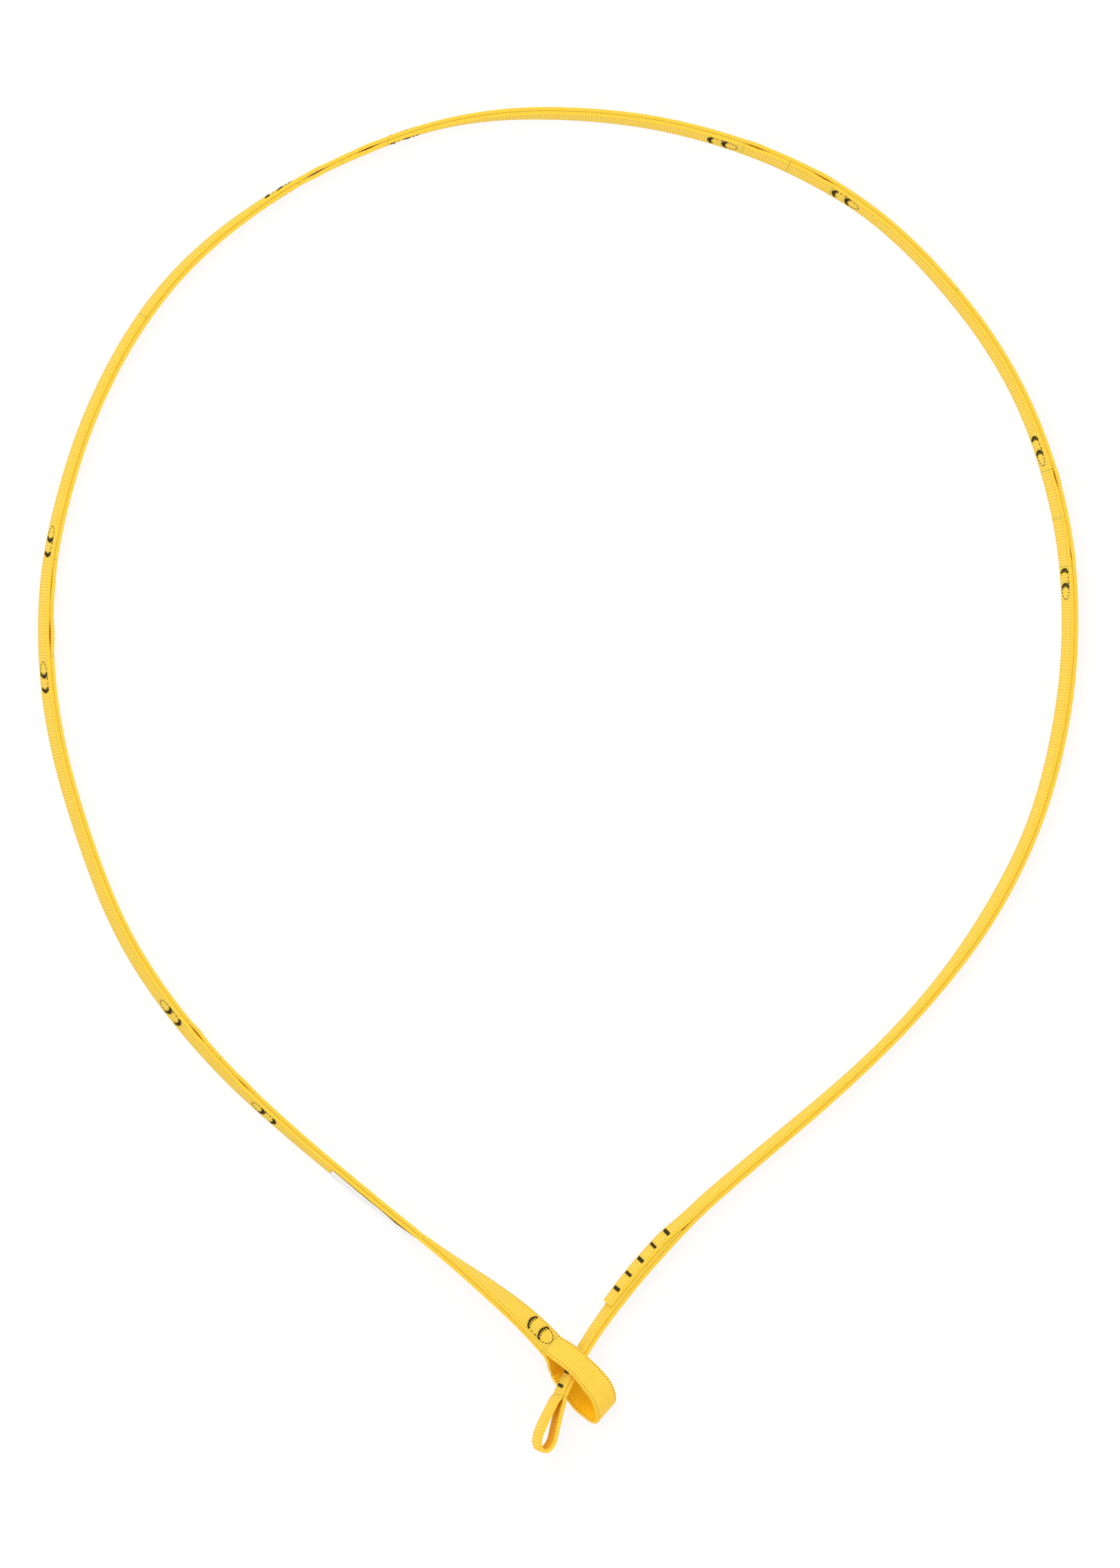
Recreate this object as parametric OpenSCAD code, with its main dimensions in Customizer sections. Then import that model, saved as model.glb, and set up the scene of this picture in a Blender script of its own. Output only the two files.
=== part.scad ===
// Choker sling of doubled flat webbing, laid on its edge as a pear-shaped noose.
// One long webbing is closed by a lapped splice, laid double and sewn at intervals, which leaves
// a large eye at one end, a small eye at the other and five pockets between the two layers.
// The small eye is drawn through the large eye. Lengths along the strap are counted from the
// start of the loop, just above the large eye, and run up the left side and over the top.

/* [Webbing] */
// Width of the webbing
web_w = 18; // [16:0.5:22]
// Thickness of one layer
web_t = 2.2; // [1.8:0.1:2.6]
// Bevel that stands for the rounded selvedge
web_edge = 0.6; // [0.4:0.1:0.8]
// Gap between the two layers where they are sewn together
layer_gap = 0.2; // [0.1:0.05:0.4]

/* [Loop] */
// Radius of the round part of the loop
loop_r = 311; // [300:1:340]
// How far the loop is drawn out at the choke
tip_reach = 133; // [110:1:150]
// Angle over which the left side runs into the round part
taper_left = 23; // [20:0.5:26]
// Angle over which the right side runs into the round part
taper_right = 13; // [11:0.5:16]
// Sharpness of the right side at the choke, where 1 is an even curve
tip_power_right = 0.83; // [0.75:0.01:1]
// Fullness of the two upper shoulders
shoulder = 3.5; // [0:0.5:8]
// Turn of the choke to the right of straight down
tip_turn = 2; // [-5:0.5:5]
// Distance from the middle of the round part up from the middle of the whole sling
loop_rise = 93.5; // [80:0.5:110]
// Turn of the strap from the start of the loop back to the nose of the large eye
neck_turn = 21.4; // [15:0.1:26]

/* [Pockets] */
// Start of pocket 1 along the strap
pocket_1_at = 181; // [170:1:210]
// Start of pocket 2 along the strap
pocket_2_at = 484; // [460:1:510]
// Start of pocket 3 along the strap
pocket_3_at = 830; // [800:1:850]
// Start of pocket 4 along the strap
pocket_4_at = 1110; // [1090:1:1140]
// Start of pocket 5 along the strap
pocket_5_at = 1390; // [1360:1:1410]
// Distance from the first bar tack of a pocket to the first one at its other end
pocket_pitch = 83; // [70:1:90]

/* [Bends] */
// Distance from the left bend to the start of pocket 2
left_bend_before = 44; // [30:1:60]
// Distance from the end of pocket 3 to the top bend
top_bend_after = 79; // [50:1:90]
// Distance from the end of pocket 5 to the right bend
right_bend_after = 74; // [50:1:90]
// Largest turn that each bend leaves room for
bend_turn = 34; // [30:1:38]
// Clearance between the round end and its socket at a bend
bend_clear = 0.3; // [0.2:0.05:0.5]

/* [Stitching] */
// Length of a bar tack across the webbing
tack_w = 13; // [9:0.5:14]
// Breadth of a bar tack along the webbing
tack_l = 2.2; // [1.5:0.1:3]
// Distance between the two bar tacks of a pattern
tack_pitch = 9; // [7:0.5:11]
// Height of the thread above the webbing
tack_proud = 0.4; // [0.2:0.05:0.8]
// Length of the arch of running stitch beyond the second bar tack
arch_l = 10; // [8:0.5:12]
// Breadth of the running stitch
arch_thread = 0.8; // [0.5:0.1:1.2]
// Clearance between a thread and what it passes through
thread_clear = 0.1; // [0.05:0.05:0.2]
// Clearance under an arch, which stays flat where the webbing curves
arch_clear = 0.3; // [0.25:0.05:0.4]

/* [Large eye] */
// Distance from the start of the loop back to the large eye's crotch
eye_crotch = 34; // [30:1:40]
// Length of the large eye from its crotch to its nose
eye_l = 55; // [50:1:65]
// Roll of the strap at the large eye's stitching
eye_roll = 42; // [38:1:46]
// Distance from the large eye's crotch to the middle of the tail that runs through it
tail_pass = 22; // [20:0.5:24]
// How far each leg of the eye lies to its own side of the strap's line
leg_side = 5.8; // [5:0.1:7]
// Roll of the eye's lower leg under the tail
lower_leg_roll = 64; // [60:1:68]
// Roll of the eye's upper leg over the tail
upper_leg_roll = 58; // [55:1:62]
// Height of the eye's crotch above the middle of the eye, as a share of the eye's half height
crotch_rise = 0.5; // [0.4:0.05:0.6]
// Turn of the eye's nose out of square to the strap
eye_skew = 16; // [0:1:20]
// Clearance of the tail inside the large eye
tail_clear = 1.2; // [1:0.1:2]
// Distance along the strap over which the neck comes down to the surface
neck_run = 150; // [120:1:160]

/* [Tail and small eye] */
// Distance along the strap over which the tail climbs through the large eye
tail_rise_l = 90; // [80:1:110]
// Distance from the middle of the large eye to the small eye's first bar tack
tail_tack_after = 5.5; // [5:0.5:9]
// Distance from the small eye's second bar tack to its own bend
small_eye_after = 6; // [5:0.5:9]
// Length of the small eye from its bend to the middle of its fold
small_eye_l = 34; // [28:1:45]
// Widest clear space inside the small eye
small_eye_open = 7; // [6:0.5:9]
// Largest turn that the small eye's bend leaves room for
small_eye_turn = 34; // [30:1:40]

/* [Splice] */
// Bar tacks in the splice
splice_tacks = 5; // [3:1:5]
// Distance from the end of the loop to the middle of the splice
splice_after = 2; // [-5:0.5:5]
// Distance between the bar tacks of the splice
splice_pitch = 11.3; // [9:0.1:12]
// Length of webbing beyond the outermost bar tacks
splice_tab = 10.5; // [7:0.5:13]
// Length over which the top layer climbs onto the lap
lap_ramp = 20; // [15:1:30]

/* [Label] */
// Start of the sewn end of the label along the strap
label_at = 135; // [120:1:150]
// Length of the label that lifts
label_l = 62; // [40:1:70]
// Length of the sewn end of the label
label_tab_l = 4; // [3:0.5:6]
// Width of the label
label_w = 15; // [10:0.5:17]
// Thickness of the label
label_t = 0.6; // [0.4:0.1:1]
// Clearance of the label on the webbing
label_clear = 0.35; // [0.3:0.05:0.5]
// Distance from the ends of the label's seam to the label's sides
label_seam_side = 1; // [0.5:0.5:3]

/* [Hidden] */

$fn = 64;
web_colour = "gold";
thread_colour = "#2b2418";
label_colour = "white";

// Space left between the ends of two runs of webbing that lie in line
seam_clear = 0.3;
// Longest step between two rings of a curved run
ring_step = 10;
// Length to either side over which the strap's roll and wander are evened out
ease = 12;
// Height that is more than any part of the sling reaches, and how far a cut runs below the surface
tall = 3 * web_w;
under = 1;

strap_t = 2 * web_t + layer_gap;
outer_off = -(web_t + layer_gap) / 2;
inner_off = (web_t + layer_gap) / 2;
lap_rise = web_t + layer_gap;
pattern_l = tack_pitch + arch_l;

function smooth(x) = let (c = min(1, max(0, x))) c * c * (3 - 2 * c);

// Plan of the loop, as a radius about its middle. The angle starts at the choke and runs clockwise.
route_start = 6;
route_end = 360 - route_start;
function tip_angle(a) = min(a, 360 - a);
function tip_decay(a) =
    a < 180 ? tip_angle(a) / taper_left : pow(tip_angle(a) / taper_right, tip_power_right);
function shoulder_swell(a) = tip_angle(a) > 90 ? shoulder * pow(sin(2 * tip_angle(a)), 2) : 0;
function loop_radius(a) = loop_r + tip_reach * exp(-tip_decay(a)) + shoulder_swell(a);
function loop_point(a) =
    [0, loop_rise] - loop_radius(a) * [sin(a - tip_turn), cos(a - tip_turn)];
function direction(v) = atan2(v.y, v.x);
function loop_heading(a) = direction(loop_point(a + 0.5) - loop_point(a - 0.5));

// Angle round the loop for a length along it
angle_step = 2;
loop_table = [
    for (a = route_start, s = 0; a <= route_end; s = s + norm(loop_point(a + angle_step) - loop_point(a)),
        a = a + angle_step) [s, a]
];
loop_l = loop_table[len(loop_table) - 1][0];
function loop_angle(s) = lookup(s, loop_table);

// The neck carries the loop on as an arc of steady bend
start_heading = loop_heading(route_start);
end_heading = loop_heading(route_end);
function arc_point(from, heading, bend, x) =
    let (to = heading + bend * x)
    from + 180 / (PI * bend) * [sin(to) - sin(heading), cos(heading) - cos(to)];
neck_bend = neck_turn / (eye_crotch + eye_l);
function neck_point(s) = arc_point(loop_point(route_start), start_heading, neck_bend, s);

// The tail is the arc that runs from the other end of the loop through the middle of the large eye
to_choke = neck_point(-eye_crotch - tail_pass) - loop_point(route_end);
half_turn = (direction(to_choke) - end_heading + 540) % 360 - 180;
choke_at = norm(to_choke) * half_turn * PI / 180 / sin(half_turn);
tail_bend = 2 * half_turn / choke_at;
choke_s = loop_l + choke_at;
function plain_point(s) =
    s < 0 ? neck_point(s)
    : s > loop_l ? arc_point(loop_point(route_end), end_heading, tail_bend, s - loop_l)
    : loop_point(loop_angle(s));
function route_heading(s) =
    s < 0 ? start_heading + neck_bend * s
    : s > loop_l ? end_heading + tail_bend * (s - loop_l)
    : loop_heading(loop_angle(s));

// The strap is laid by hand, so it wanders to the inside of that plan, or to the outside with a minus.
// Each row gives a share of the loop's length and a distance.
sway_table = [
    [-0.045, -3.7], [-0.03, -4.3], [-0.017, -3.3], [-0.008, -2], [0, -0.9], [0.01, 0.2], [0.03, 0.8],
    [0.06, 0.4], [0.085, -0.4], [0.112, -2], [0.14, -2.4], [0.157, -2], [0.172, -0.4], [0.19, 2],
    [0.204, 3.1], [0.22, 2.9], [0.265, 1.8], [0.278, 1.4], [0.308, 2.7], [0.338, 1.9], [0.368, 0],
    [0.383, -0.5], [0.413, 0.3], [0.444, 0.2], [0.474, -2.2], [0.489, -2.4], [0.52, -0.7],
    [0.56, -0.2], [0.61, -1.4], [0.645, 0], [0.685, -1.5], [0.73, -1.3], [0.76, 0.1], [0.79, 0.6],
    [0.82, -0.4], [0.88, 0.4], [0.93, 0.4], [0.96, -0.1], [0.974, -0.1], [0.986, -1.6], [1.015, -1.6],
    [1.022, -0.6], [1.03, 0.6], [1.04, 2.3], [1.05, 3.4], [1.065, 5.5]
];
function eased(s, table) =
    (lookup((s - ease) / loop_l, table) + 2 * lookup(s / loop_l, table)
        + lookup((s + ease) / loop_l, table)) / 4;
function sway_at(s) = eased(s, sway_table);
function route_point(s) =
    let (h = route_heading(s)) plain_point(s) + sway_at(s) * [sin(h), -cos(h)];

// Roll of the strap, as shares of the loop's length. With a plus, the inner face turns up.
roll_table = [
    [-0.017, eye_roll], [-0.012, 39], [-0.005, 33], [0, 28], [0.005, 24], [0.01, 17], [0.015, 11], [0.02, 6],
    [0.03, 0], [0.045, -5], [0.06, -9], [0.09, -12], [0.11, -15], [0.127, -18], [0.16, -17],
    [0.195, -16], [0.25, -18], [0.265, -18], [0.293, -14], [0.34, -12], [0.37, -10], [0.4, -6],
    [0.415, -4], [0.428, 0], [0.47, 0], [0.489, 4], [0.504, 8], [0.53, 10], [0.565, 13], [0.595, 16],
    [0.61, 13], [0.65, 15], [0.69, 15], [0.715, 18], [0.745, 18], [0.79, 17], [0.82, 14], [0.85, 16],
    [0.88, 10], [0.91, 9], [0.94, 13], [0.97, 16], [1, 17], [1.012, 16], [1.022, 13], [1.035, 12],
    [1.045, 13], [1.06, 13.5]
];
function roll_at(s) = eased(s, roll_table);

// Height of the middle of a strip of thickness t that touches the surface when rolled
function half_height(roll, t) = max(
    t / 2 * abs(sin(roll)) + (web_w / 2 - web_edge) * cos(roll),
    (t / 2 - web_edge) * abs(sin(roll)) + web_w / 2 * cos(roll)
);

// Length along the tail at which it crosses the middle of the large eye, and from there to a leg's edge
pass_s = -eye_crotch - tail_pass;
cross_turn = route_heading(choke_s) - route_heading(pass_s);
eye_mid = choke_s + (sway_at(choke_s) * cos(cross_turn) - sway_at(pass_s)) / sin(cross_turn);
leg_reach = (leg_side + web_w / 2 * sin(lower_leg_roll)) / sin(cross_turn);

// Heights at the choke. The tail climbs over the raised edge of the eye's lower leg, and the upper leg
// clears the tail at its own low edge.
function tail_rise(x) = smooth(0.5 + x / tail_rise_l);
lower_leg_z = half_height(lower_leg_roll, web_t);
tail_lift = (2 * lower_leg_z + tail_clear) / tail_rise(leg_reach);
tail_top = tail_lift * tail_rise(-leg_reach) + 2 * half_height(roll_at(eye_mid), strap_t);
upper_leg_z = tail_top + tail_clear + half_height(upper_leg_roll, web_t);
eye_axis_z = (lower_leg_z + upper_leg_z) / 2;
eye_half = (upper_leg_z - lower_leg_z) / 2;
crotch_roll = roll_at(-eye_crotch);
neck_lift = eye_axis_z + crotch_rise * eye_half - half_height(crotch_roll, strap_t);
function lift_at(s) =
    neck_lift * smooth((neck_run - eye_crotch - s) / neck_run) + tail_lift * tail_rise(s - eye_mid);

// Frame of the strap: point on its middle line, through its layers, along it and across it
function along(s) = [cos(route_heading(s)), sin(route_heading(s)), 0];
function inward(s) = [sin(route_heading(s)), -cos(route_heading(s)), 0];
function across_of(heading, roll) =
    cos(roll) * [0, 0, 1] - sin(roll) * [sin(heading), -cos(heading), 0];
function across(s, roll) = across_of(route_heading(s), roll);
function through(s, roll) = cos(roll) * inward(s) + sin(roll) * [0, 0, 1];
function middle(s) = [each route_point(s), half_height(roll_at(s), strap_t) + lift_at(s)];

// Rings of a strip and the faces that join them
function strip_section(w, t, e) = [
    [-t / 2, e - w / 2], [-t / 2, w / 2 - e], [e - t / 2, w / 2], [t / 2 - e, w / 2],
    [t / 2, w / 2 - e], [t / 2, e - w / 2], [t / 2 - e, -w / 2], [e - t / 2, -w / 2]
];
function ring(point, f, w, section) = [for (p = section) point + p.x * f + p.y * w];
function strip_faces(rings, sides) = concat(
    [for (j = [1 : sides - 2]) [0, j, j + 1]],
    [for (i = [0 : rings - 2], j = [0 : sides - 1]) let (k = (j + 1) % sides)
        each [[i * sides + j, (i + 1) * sides + j, (i + 1) * sides + k],
            [i * sides + j, (i + 1) * sides + k, i * sides + k]]],
    [for (j = [1 : sides - 2]) let (last = (rings - 1) * sides) [last, last + j + 1, last + j]]
);
module strip(rings) {
    polyhedron([for (r = rings) each r], strip_faces(len(rings), len(rings[0])), convexity = 6);
}

// A run of strip beside the strap's middle line. Each station is a length and a distance to the inside.
module run(stations, w = web_w, t = web_t, e = web_edge) {
    section = strip_section(w, t, e);
    strip([for (q = stations)
        let (roll = roll_at(q[0]), f = through(q[0], roll))
        ring(middle(q[0]) + q[1] * f, f, across(q[0], roll), section)]);
}
function stations(from, to, off) =
    let (n = max(2, ceil((to - from) / ring_step)))
    [for (i = [0 : n]) [from + (to - from) * i / n, off]];

// A strip that turns round an eye: points on its middle line, the direction across it at each, and the
// direction in which it starts
function turn(points, i) =
    let (d = points[min(i + 1, len(points) - 1)] - points[max(i - 1, 0)]) d / norm(d);
function square_to(v, d) = let (r = v - (v * d) * d) r / norm(r);
function on_surface(r) = [for (p = r) [p.x, p.y, max(0, p.z)]];
module turned_strip(points, acrosses, start) {
    section = strip_section(web_w, web_t, web_edge);
    last = len(points) - 1;
    strip([for (i = [0 : last])
        let (d = i == 0 ? start : i == last ? -start : turn(points, i), w = square_to(acrosses[i], d))
        on_surface(ring(points[i], cross(d, w), w, section))]);
}

// Smooth curve through a few stations, with a fixed number of steps between each two
function spline_step(a, b, c, d, x) = 0.5 * (2 * b + (c - a) * x + (2 * a - 5 * b + 4 * c - d) * x * x
    + (3 * b - a - 3 * c + d) * x * x * x);
function spline(p, steps) = let (n = len(p) - 1) concat(
    [for (i = [0 : n - 1], j = [0 : steps - 1])
        spline_step(p[max(i - 1, 0)], p[i], p[i + 1], p[min(i + 2, n)], j / steps)],
    [p[n]]
);

// Bends: the run before a bend ends in a round nose, and the run after it starts in a socket
function half_plan(s) =
    strap_t / 2 / cos(roll_at(s)) + web_w / 2 * abs(tan(roll_at(s)));
function socket_r(s, angle) = half_plan(s) / cos(angle);
function nose_r(s, angle) = socket_r(s, angle) - bend_clear;
module on_route(s) {
    translate([each route_point(s), 0]) rotate([0, 0, route_heading(s)]) children();
}
module beyond_nose(s, angle) {
    r = nose_r(s, angle);
    on_route(s) difference() {
        translate([0, -2 * r, -under]) cube([3 * r, 4 * r, tall]);
        translate([0, 0, -2 * under]) cylinder(r = r, h = tall + 2 * under);
    }
}
module socket(s, angle) {
    on_route(s) translate([0, 0, -under]) cylinder(r = socket_r(s, angle), h = tall);
}

left_bend = pocket_2_at - left_bend_before;
top_bend = pocket_3_at + pocket_pitch + pattern_l + top_bend_after;
right_bend = pocket_5_at + pocket_pitch + pattern_l + right_bend_after;
tail_tack = choke_s + tail_tack_after;
small_eye_bend = tail_tack + tack_pitch + small_eye_after;
splice_mid = loop_l + splice_after;
splice_from = splice_mid - (splice_tacks - 1) / 2 * splice_pitch;
lap_start = splice_from - splice_tab;
lap_end = splice_from + (splice_tacks - 1) * splice_pitch + splice_tab;

// Bar tacks as lengths along the strap
pocket_starts = [pocket_1_at, pocket_2_at, pocket_3_at, pocket_4_at, pocket_5_at];
function pattern_tacks(s) = [s, s + tack_pitch];
function pocket_tacks(i) =
    concat(pattern_tacks(pocket_starts[i]), pattern_tacks(pocket_starts[i] + pocket_pitch));
eye_tacks = [for (i = [0, 1]) -eye_crotch + arch_l - tack_l / 2 + i * tack_pitch];
splice_at = [for (i = [0 : splice_tacks - 1]) splice_from + i * splice_pitch];
tail_tacks = pattern_tacks(tail_tack);
function leg_from(i) = pocket_starts[i] + pattern_l + tack_l;
function leg_to(i) = pocket_starts[i] + pocket_pitch - tack_l;
function before_leg(i) = leg_from(i) - seam_clear;
function after_leg(i) = leg_to(i) + seam_clear;

// Places what follows on the strap, with x through the layers, y along the strap and z across it
module on_strap(s) {
    roll = roll_at(s);
    f = through(s, roll);
    y = along(s);
    w = across(s, roll);
    p = middle(s);
    multmatrix([[f.x, y.x, w.x, p.x], [f.y, y.y, w.y, p.y], [f.z, y.z, w.z, p.z], [0, 0, 0, 1]])
        children();
}
module bar(s, from, to, grow = 0, w = tack_w, l = tack_l) {
    on_strap(s) translate([from, -l / 2 - grow, -w / 2 - grow])
        cube([to - from, l + 2 * grow, w + 2 * grow]);
}
slot_reach = 3 * strap_t;
module tack_slots(places) {
    for (s = places) bar(s, -slot_reach, slot_reach, thread_clear);
}
module tacks(places, from = -strap_t / 2, to = strap_t / 2) {
    for (s = places) bar(s, from - tack_proud, to + tack_proud);
}

// Arch of running stitch on one face, from the second bar tack outwards
module arch(s, off, way) {
    r = tack_w / 2;
    straight = max(arch_thread, arch_l - tack_l - r);
    reach = straight + r;
    start = tack_l / 2 + thread_clear;
    on_strap(s + way * (start + reach / 2)) translate([off, -way * reach / 2, 0]) rotate([0, 90, 0])
        mirror([0, way < 0 ? 1 : 0, 0]) linear_extrude(tack_proud) {
            for (side = [-r, r - arch_thread]) translate([side, 0]) square([arch_thread, straight]);
            translate([0, straight]) intersection() {
                difference() {
                    circle(r);
                    circle(r - arch_thread);
                }
                translate([-r, 0]) square([2 * r, r]);
            }
        }
}
module arches(s, way) {
    arch(s, strap_t / 2 + arch_clear, way);
    arch(s, -strap_t / 2 - arch_clear - tack_proud, way);
}

// Large eye: shares of its length, of the legs' distance to the side and of its half height, and roll.
// The list runs from the crotch along the lower leg, round the nose and back along the upper leg.
eye_side = inner_off * cos(crotch_roll) / leg_side;
eye_rise = inner_off * sin(crotch_roll) / eye_half;
lower_leg_shape = [
    [0, -eye_side, crotch_rise - eye_rise, crotch_roll],
    [0.05, -1.15 * eye_side, crotch_rise - 1.3 * eye_rise, crotch_roll],
    [0.12, -0.24, 0.22, 52], [0.18, -0.4, -0.25, 58], [0.24, -0.57, -0.8, 62],
    [0.3, -0.7, -1, lower_leg_roll], [0.38, -0.87, -1, lower_leg_roll], [0.6, -1, -1, lower_leg_roll],
    [0.75, -0.98, -0.98, lower_leg_roll], [0.87, -0.68, -0.75, 65], [0.95, -0.38, -0.42, 66]
];
upper_leg_shape = [
    [0.95, 0.42, 0.42, 66], [0.87, 0.78, 0.75, 65], [0.75, 1.04, 0.98, 63], [0.6, 1, 1, 61],
    [0.44, 0.84, 1, upper_leg_roll], [0.3, 0.66, 1, 56], [0.2, 0.5, 0.9, 53], [0.12, 0.33, 0.72, 49],
    [0.05, 1.15 * eye_side, crotch_rise + 1.15 * eye_rise, crotch_roll],
    [0, eye_side, crotch_rise + eye_rise, crotch_roll]
];
eye_nose = [0.985, 0, 0, 66];
eye_steps = 3;
function eye_s(q) = -eye_crotch - seam_clear - q[0] * eye_l;
function eye_point(q) =
    let (s = eye_s(q)) [each route_point(s), eye_axis_z + q[2] * eye_half] + q[1] * leg_side * inward(s);
module large_eye_loop() {
    shape = spline(concat(lower_leg_shape, [eye_nose], upper_leg_shape), eye_steps);
    color(web_colour) turned_strip([for (q = shape) eye_point(q)],
        [for (q = shape) across_of(route_heading(eye_s(q)) + q[0] * eye_skew, q[3])],
        -along(-eye_crotch));
}
module large_eye_stitching() {
    color(thread_colour) {
        tacks(eye_tacks);
        arches(eye_tacks[0], -1);
    }
}

// Runs of the two layers between the bends
module layer_body(from_bend, to_bend, angle = bend_turn, to_angle = bend_turn) {
    difference() {
        children();
        if (from_bend != undef) socket(from_bend, angle);
        if (to_bend != undef) beyond_nose(to_bend, to_angle);
    }
}
function past_nose(s, angle) = s + 1.5 * nose_r(s, angle);
module outer_run(from, to, places) {
    difference() {
        run(stations(from, to, outer_off));
        tack_slots(places);
    }
}
module inner_runs(cuts, places) {
    difference() {
        for (c = cuts) run(stations(c[0], c[1], inner_off));
        tack_slots(places);
    }
}
module label_slot() {
    bar(label_seam, -strap_t, 0, thread_clear, label_seam_w, label_seam_l);
}
module lower_left_outer_layer() {
    color(web_colour) layer_body(undef, left_bend) difference() {
        outer_run(-eye_crotch, past_nose(left_bend, bend_turn), concat(eye_tacks, pocket_tacks(0)));
        label_slot();
    }
}
module lower_left_inner_layer() {
    color(web_colour) layer_body(undef, left_bend)
        inner_runs([[-eye_crotch, before_leg(0)], [after_leg(0), past_nose(left_bend, bend_turn)]],
            concat(eye_tacks, pocket_tacks(0)));
}
module upper_left_outer_layer() {
    color(web_colour) layer_body(left_bend, top_bend)
        outer_run(left_bend, past_nose(top_bend, bend_turn), concat(pocket_tacks(1), pocket_tacks(2)));
}
module upper_left_inner_layer() {
    color(web_colour) layer_body(left_bend, top_bend)
        inner_runs([[left_bend, before_leg(1)], [after_leg(1), before_leg(2)],
            [after_leg(2), past_nose(top_bend, bend_turn)]], concat(pocket_tacks(1), pocket_tacks(2)));
}
module upper_right_outer_layer() {
    color(web_colour) layer_body(top_bend, right_bend)
        outer_run(top_bend, past_nose(right_bend, bend_turn), concat(pocket_tacks(3), pocket_tacks(4)));
}
module upper_right_inner_layer() {
    color(web_colour) layer_body(top_bend, right_bend)
        inner_runs([[top_bend, before_leg(3)], [after_leg(3), before_leg(4)],
            [after_leg(4), past_nose(right_bend, bend_turn)]], concat(pocket_tacks(3), pocket_tacks(4)));
}
module lower_right_outer_layer() {
    color(web_colour) layer_body(right_bend, small_eye_bend, to_angle = small_eye_turn)
        outer_run(right_bend, past_nose(small_eye_bend, small_eye_turn), concat(splice_at, tail_tacks));
}

// The inner layer climbs over the start of the tail's layer and ends in the tab of the splice
ramp_end = lap_start - seam_clear;
ramp_rings = 5;
module lower_right_inner_layer() {
    flat = stations(right_bend, ramp_end - lap_ramp, inner_off);
    ramp = [for (i = [1 : ramp_rings])
        [ramp_end - lap_ramp * (1 - i / ramp_rings), inner_off + lap_rise * smooth(i / ramp_rings)]];
    lap = stations(lap_start, lap_end, inner_off + lap_rise);
    color(web_colour) layer_body(right_bend, undef) difference() {
        run(concat(flat, ramp, lap));
        tack_slots(splice_at);
    }
}
module tail_inner_layer() {
    color(web_colour) layer_body(undef, small_eye_bend, to_angle = small_eye_turn) difference() {
        run(stations(lap_start, past_nose(small_eye_bend, small_eye_turn), inner_off));
        tack_slots(concat(splice_at, tail_tacks));
    }
}
module splice_bar_tacks() {
    color(thread_colour) tacks(splice_at, to = strap_t / 2 + lap_rise);
}
module small_eye_stitching() {
    color(thread_colour) tacks(tail_tacks);
}

// Small eye: share of its length, and share of its half width at that place
small_eye_half = (small_eye_open + web_t) / 2;
small_eye_shape = [
    [0, inner_off], [0.1, 0.47 * small_eye_half], [0.25, 0.6 * small_eye_half], [0.42, 0.77 * small_eye_half],
    [0.6, 0.92 * small_eye_half], [0.8, small_eye_half], [0.95, 0.64 * small_eye_half], [1, 0],
    [0.95, -0.64 * small_eye_half], [0.8, -small_eye_half], [0.6, -0.92 * small_eye_half],
    [0.42, -0.77 * small_eye_half], [0.25, -0.6 * small_eye_half], [0.1, -0.47 * small_eye_half],
    [0, -inner_off]
];
small_eye_steps = 3;
function small_eye_s(q) = small_eye_bend + q[0] * small_eye_l;
function small_eye_point(q) = let (s = small_eye_s(q)) middle(s) + q[1] * through(s, roll_at(s));
module small_eye_loop() {
    shape = spline(small_eye_shape, small_eye_steps);
    color(web_colour) difference() {
        turned_strip([for (q = shape) small_eye_point(q)],
            [for (q = shape) let (s = small_eye_s(q)) across(s, roll_at(s))], along(small_eye_bend));
        socket(small_eye_bend, small_eye_turn);
    }
}

// Pockets: the inner leg that bows away from the outer layer, and the stitching at either end
module pocket_leg(i) {
    color(web_colour) run(stations(leg_from(i), leg_to(i), inner_off));
}
module pocket_stitching(s) {
    color(thread_colour) {
        tacks(pattern_tacks(s));
        arches(s + tack_pitch, 1);
    }
}

// Label on the outer face: the sewn tab, its seam and the flap that lifts
label_off = -strap_t / 2 - label_clear - label_t / 2;
label_edge = label_t / 3;
label_seam = label_at - label_tab_l / 2;
label_seam_l = label_tab_l / 3;
label_seam_w = label_w - 2 * label_seam_side;
module label_flap() {
    to = label_at - label_tab_l - seam_clear;
    color(label_colour) run(stations(to - label_l, to, label_off), label_w, label_t, label_edge);
}
module label_tab() {
    color(label_colour) difference() {
        run(stations(label_at - label_tab_l, label_at, label_off), label_w, label_t, label_edge);
        bar(label_seam, -slot_reach, 0, thread_clear, label_seam_w, label_seam_l);
    }
}
module label_stitching() {
    color(label_colour)
        bar(label_seam, label_off - label_t / 2 - tack_proud, -layer_gap / 2, 0, label_seam_w, label_seam_l);
}

large_eye_loop();
large_eye_stitching();
lower_left_outer_layer();
lower_left_inner_layer();
upper_left_outer_layer();
upper_left_inner_layer();
upper_right_outer_layer();
upper_right_inner_layer();
lower_right_outer_layer();
lower_right_inner_layer();
tail_inner_layer();
splice_bar_tacks();
small_eye_stitching();
small_eye_loop();
for (i = [0 : len(pocket_starts) - 1]) {
    pocket = str("pocket_", i + 1);
    pocket_leg(i);
    pocket_stitching(pocket_starts[i]);
    pocket_stitching(pocket_starts[i] + pocket_pitch);
}
label_flap();
label_tab();
label_stitching();
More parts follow.
